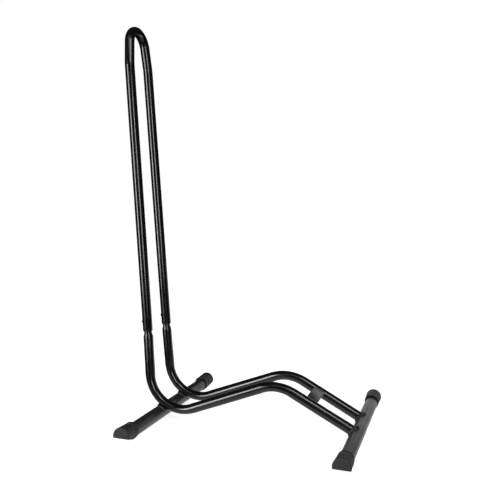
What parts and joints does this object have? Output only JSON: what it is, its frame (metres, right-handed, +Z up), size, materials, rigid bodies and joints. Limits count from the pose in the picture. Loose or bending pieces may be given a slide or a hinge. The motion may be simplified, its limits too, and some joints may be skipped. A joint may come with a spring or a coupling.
{
  "type": "bicycle floor rack",
  "caption": "Floor rack for one bicycle wheel: bent tube rails over a low hump, two crossbars with end caps, and a tall narrow hoop.",
  "frame": {"origin": "on the floor, under the middle of the rack's bounding box", "axes": "+X from the upright hoop to the low rear crossbar where the wheel rolls in, +Y across the rack, +Z up"},
  "size_m": [0.498, 0.413, 0.7915],
  "materials": {
    "tube_paint": "gloss black powder coat",
    "crossbar_paint": "satin black powder coat",
    "weld_paint": "black powder coat over a weld bead",
    "cap_plastic": "matt black moulded plastic",
    "screw_steel": "black finished steel"
  },
  "bodies": {
    "root": {"front_crossbar": "crossbar_paint", "rear_crossbar": "crossbar_paint", "wheel_hoop": "tube_paint", "wheel_stop_plate": "crossbar_paint", "near_rail": "tube_paint", "near_front_weld": "weld_paint", "near_rear_weld": "weld_paint", "near_front_cap": "cap_plastic", "near_rear_cap": "cap_plastic", "near_lock_screw": "screw_steel", "far_rail": "tube_paint", "far_front_weld": "weld_paint", "far_rear_weld": "weld_paint", "far_front_cap": "cap_plastic", "far_rear_cap": "cap_plastic", "far_lock_screw": "screw_steel"}
  },
  "joints": []
}
